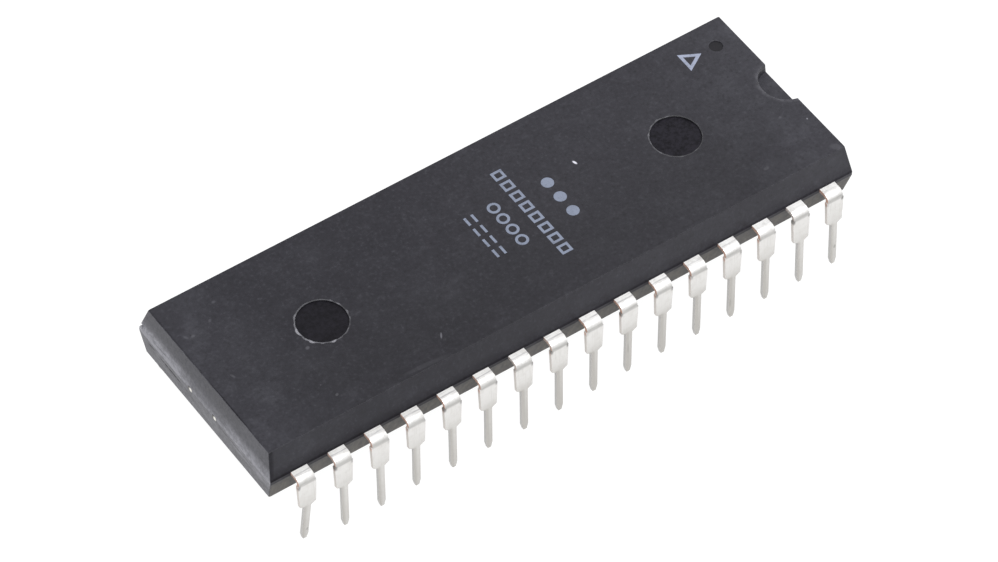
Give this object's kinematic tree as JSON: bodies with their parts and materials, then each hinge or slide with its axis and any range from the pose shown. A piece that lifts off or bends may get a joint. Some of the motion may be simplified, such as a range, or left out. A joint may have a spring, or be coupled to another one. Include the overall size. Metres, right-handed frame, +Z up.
{
  "type": "plastic dual in-line memory chip",
  "caption": "Long black moulded dual in-line memory chip with tinned leads bent down along both long sides, an end notch, a corner dot and round ejector marks.",
  "frame": {"origin": "middle of the package, on the surface that the lead tips stand on", "axes": "+X along the package towards its end notch, +Y towards the row that starts at the dot, +Z up"},
  "size_m": [0.042, 0.0166, 0.0079],
  "materials": {
    "moulding_compound": "fine matt moulded epoxy, dark grey, with faint scratches",
    "tinned_lead": "matt tin plate over copper alloy, brighter on the bends, copper showing where the bars between leads were sheared",
    "lead_frame_copper": "bare stamped copper alloy strip",
    "die_adhesive": "silver filled epoxy",
    "silicon": "polished silicon with a passivated face",
    "gold_wire": "fine drawn gold wire"
  },
  "bodies": {
    "root": {"package_body": "moulding_compound", "lead_01": "tinned_lead", "lead_02": "tinned_lead", "lead_03": "tinned_lead", "lead_04": "tinned_lead", "lead_05": "tinned_lead", "lead_06": "tinned_lead", "lead_07": "tinned_lead", "lead_08": "tinned_lead", "lead_09": "tinned_lead", "lead_10": "tinned_lead", "lead_11": "tinned_lead", "lead_12": "tinned_lead", "lead_13": "tinned_lead", "lead_14": "tinned_lead", "lead_15": "tinned_lead", "lead_16": "tinned_lead", "lead_17": "tinned_lead", "lead_18": "tinned_lead", "lead_19": "tinned_lead", "lead_20": "tinned_lead", "lead_21": "tinned_lead", "lead_22": "tinned_lead", "lead_23": "tinned_lead", "lead_24": "tinned_lead", "lead_25": "tinned_lead", "lead_26": "tinned_lead", "lead_27": "tinned_lead", "lead_28": "tinned_lead", "lead_29": "tinned_lead", "lead_30": "tinned_lead", "lead_31": "tinned_lead", "lead_32": "tinned_lead", "die_paddle": "lead_frame_copper", "die_attach": "die_adhesive", "silicon_die": "silicon", "bond_wires": "gold_wire"}
  },
  "joints": []
}
